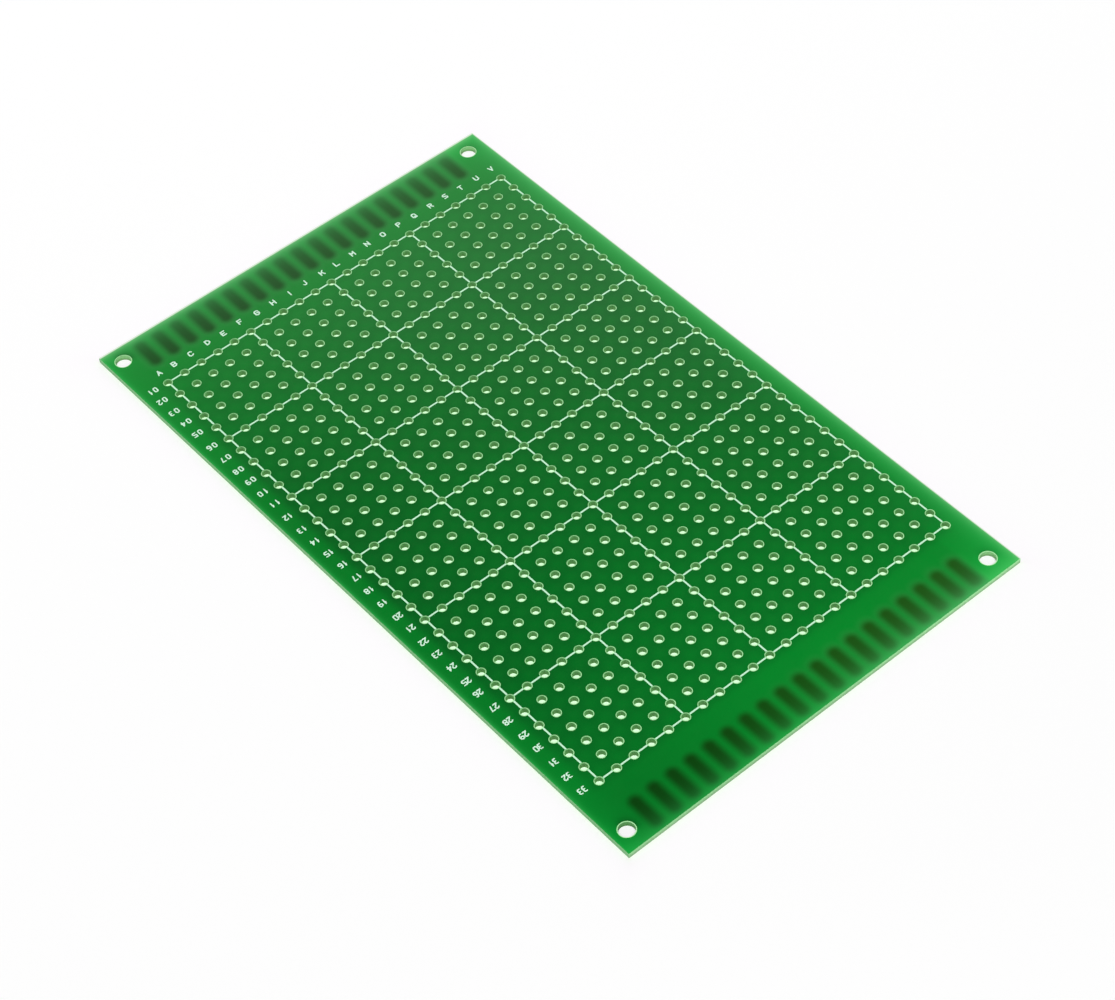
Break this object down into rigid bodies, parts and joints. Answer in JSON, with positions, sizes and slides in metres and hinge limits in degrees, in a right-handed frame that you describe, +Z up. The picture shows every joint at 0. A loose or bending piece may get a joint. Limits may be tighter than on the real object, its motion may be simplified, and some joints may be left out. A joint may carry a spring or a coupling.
{
  "type": "prototype board",
  "caption": "Single-sided green circuit board with a grid of lead holes, a white coordinate legend, corner mounting holes and edge contacts at both ends.",
  "frame": {"origin": "centre of the underside (copper side) of the board, on the surface that it lies on", "axes": "+X across the lettered columns from A to V, +Y along the board towards its lettered end, +Z up from the copper side to the component side"},
  "size_m": [0.09, 0.15, 0.0012],
  "materials": {
    "laminate": "cut glass-filled laminate, pale yellow-green",
    "green_mask": "glossy green solder mask",
    "tinned_copper": "satin tinned copper",
    "white_ink": "screen-printed white ink"
  },
  "bodies": {
    "root": {"laminate": "laminate", "component_mask": "green_mask", "solder_mask": "green_mask", "lead_pads": "tinned_copper", "front_contacts": "tinned_copper", "rear_contacts": "tinned_copper", "row_lines": "white_ink", "column_lines": "white_ink"}
  },
  "joints": []
}
